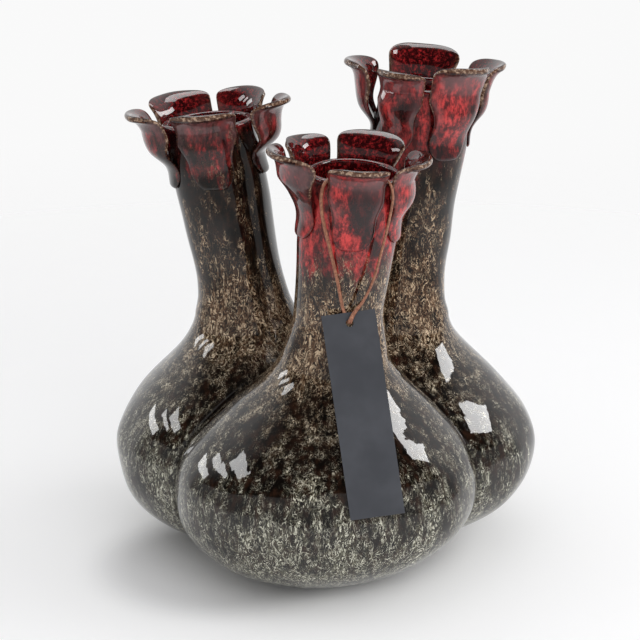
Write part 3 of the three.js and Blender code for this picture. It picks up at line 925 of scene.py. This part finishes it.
def add_area_light(name, azimuth, elevation, distance, size, strength, reflected, roll=0.0):
    """A panel facing the vase. Its azimuth is counted from the front, to the right, in degrees."""
    data = bpy.data.lights.new(name, "AREA")
    data.shape = "RECTANGLE"
    data.size, data.size_y = size
    data.energy = strength * math.pi * size[0] * size[1]
    lamp = bpy.data.objects.new(name, data)
    turn, lift = math.radians(azimuth), math.radians(elevation)
    way = Vector((math.sin(turn) * math.cos(lift), -math.cos(turn) * math.cos(lift), math.sin(lift)))
    lamp.location = LAMP_TARGET + way * distance
    rolled = Quaternion((0, 0, 1), math.radians(roll))
    lamp.rotation_euler = (way.to_track_quat("Z", "Y") @ rolled).to_euler()
    lamp.visible_glossy = reflected
    lamp.visible_diffuse = not reflected
    bpy.context.scene.collection.objects.link(lamp)


def add_lamps():
    """Soft lamps that light the vase unseen, and panels that only the glaze mirrors."""
    add_area_light(
        "daylight", azimuth=92, elevation=32, distance=1.8, size=(1.1, 1.1), strength=2.0, reflected=False,
    )
    add_area_light(
        "fill", azimuth=24, elevation=17, distance=1.8, size=(1.4, 1.4), strength=2.1, reflected=False,
    )
    add_area_light(
        "window", azimuth=102, elevation=37, distance=2.0, size=(0.75, 0.42), strength=11, reflected=True,
        roll=WINDOW_ROLL,
    )
    add_area_light(
        "rim_light", azimuth=180, elevation=70, distance=2.0, size=(1.8, 0.9), strength=5, reflected=True,
    )
    for number, strip in enumerate(STRIPS):
        add_area_light(
            f"strip_{number}", **strip, distance=STRIP_DISTANCE, strength=STRIP_STRENGTH, reflected=True,
        )


def add_world():
    """Plain white to the camera. The glaze mirrors white behind it, grey below, and near-dark elsewhere."""
    world = bpy.data.worlds.new("studio")
    bpy.context.scene.world = world
    world.use_nodes = True
    tree = world.node_tree
    background = tree.nodes["Background"]
    path = tree.nodes.new("ShaderNodeLightPath")
    place = tree.nodes.new("ShaderNodeTexCoord")
    way = tree.nodes.new("ShaderNodeSeparateXYZ")
    tree.links.new(place.outputs["Generated"], way.inputs[0])
    backwards, upwards = way.outputs["Y"], way.outputs["Z"]
    tipped = combine(tree, "ADD", backwards, scaled(tree, upwards, BEHIND_TIP))
    behind = ramp(tree, tipped, *BEHIND_EDGE)
    leaning = combine(tree, "ADD", upwards, scaled(tree, backwards, BELOW_TIP))
    below = scaled(tree, ramp(tree, leaning, *BELOW_EDGE), BELOW_LIGHT)
    mirrored = combine(tree, "MAXIMUM", behind, below)
    mirrored = scaled(tree, mirrored, 1 - MIRRORED_DARK, MIRRORED_DARK)
    seen = combine(tree, "MAXIMUM", path.outputs["Is Camera Ray"], path.outputs["Is Transmission Ray"])
    strength = scaled(tree, seen, BACKDROP_LIGHT - WORLD_LIGHT, WORLD_LIGHT)
    both = tree.nodes.new("ShaderNodeMix")
    tree.links.new(path.outputs["Is Glossy Ray"], both.inputs[0])
    tree.links.new(strength, both.inputs[2])
    tree.links.new(mirrored, both.inputs[3])
    background.inputs["Color"].default_value = (1, 1, 1, 1)
    tree.links.new(both.outputs[0], background.inputs["Strength"])


def painted_floor_glow(tree):
    """Painted light of the floor's own, seen by the camera and in reflections, so that it looks white. It
    lifts the shade on the floor, and is left out round the vase's feet and over a painted shadow to the
    vase's left and front.
    """
    path = tree.nodes.new("ShaderNodeLightPath")
    seen = combine(tree, "MAXIMUM", path.outputs["Is Camera Ray"], path.outputs["Is Glossy Ray"])
    seen = combine(tree, "MAXIMUM", seen, path.outputs["Is Transmission Ray"])
    out_of_painted_shadow = ramp(tree, distance_from(tree, PAINTED_SHADOW_MIDDLE), *PAINTED_SHADOW_EDGE)
    clear_of_feet = ramp(tree, distance_from(tree, VASE_MIDDLE), *PAINTED_SHADOW_EDGE)
    clear = combine(tree, "MULTIPLY", out_of_painted_shadow, clear_of_feet)
    return combine(tree, "MULTIPLY", seen, scaled(tree, clear, FLOOR_GLOW))


def floor_material():
    """Pale and matt near the vase, with painted light and a painted shadow, and clear further out."""
    material, tree, shader = new_material("floor")
    shader.inputs["Base Color"].default_value = FLOOR_COLOUR
    shader.inputs["Emission Color"].default_value = (1, 1, 1, 1)
    shader.inputs["Roughness"].default_value = 0.7
    tree.links.new(painted_floor_glow(tree), shader.inputs["Emission Strength"])
    fade = ramp(tree, distance_from(tree, VASE_MIDDLE), *FLOOR_FADE)
    nothing = tree.nodes.new("ShaderNodeBsdfTransparent")
    blend = tree.nodes.new("ShaderNodeMixShader")
    tree.links.new(fade, blend.inputs[0])
    tree.links.new(shader.outputs[0], blend.inputs[1])
    tree.links.new(nothing.outputs[0], blend.inputs[2])
    tree.links.new(blend.outputs[0], tree.nodes["Material Output"].inputs["Surface"])
    return material


def add_floor():
    """A pale floor that takes the lamps' shadow near the vase, with painted light and a painted shadow on it,
    and fades into the white behind.
    """
    mesh = bpy.data.meshes.new("floor")
    corners = [(x * FLOOR_HALF, y * FLOOR_HALF, 0) for x, y in ((-1, -1), (1, -1), (1, 1), (-1, 1))]
    mesh.from_pydata(corners, [], [(0, 1, 2, 3)])
    floor = bpy.data.objects.new("floor", mesh)
    bpy.context.scene.collection.objects.link(floor)
    mesh.materials.append(floor_material())


def dress(piece, material, body):
    piece.data.materials.append(material)
    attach(piece, body)


def add_tag():
    """The card in its matt slate, with the knotted cord that it hangs by."""
    leather = leather_material()
    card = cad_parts["tag_card"]
    card.data.materials.clear()
    card.data.materials.append(card_material())
    knot = make_knot()
    dress(knot, leather, "vase")
    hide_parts("cord_knot")
    cord = make_cord()
    cord.data.materials.append(leather)
    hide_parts("tag_cord", "cord_inner_left", "cord_inner_right")
    notch_y = float(over_lip(FLASKS[0], NOTCH_TURNS["left"])[0][1] + SHIFT[1])
    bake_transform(cord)


def add_pottery():
    glaze = glaze_material()
    for flask in FLASKS:
        body = make_flask(flask)
        dress(body, glaze, "vase")
        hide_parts(f"lobe_{flask['name']}", f"neck_{flask['name']}")
        for number, petal in enumerate(flask["petals"], 1):
            leaf = make_petal(flask, petal, number)
            dress(leaf, glaze, "vase")
            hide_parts(f"petal_{flask['name']}_{number}")


add_camera()
bpy.context.scene.view_settings.view_transform = "Standard"
add_tag()
add_pottery()
add_world()
add_floor()
add_lamps()
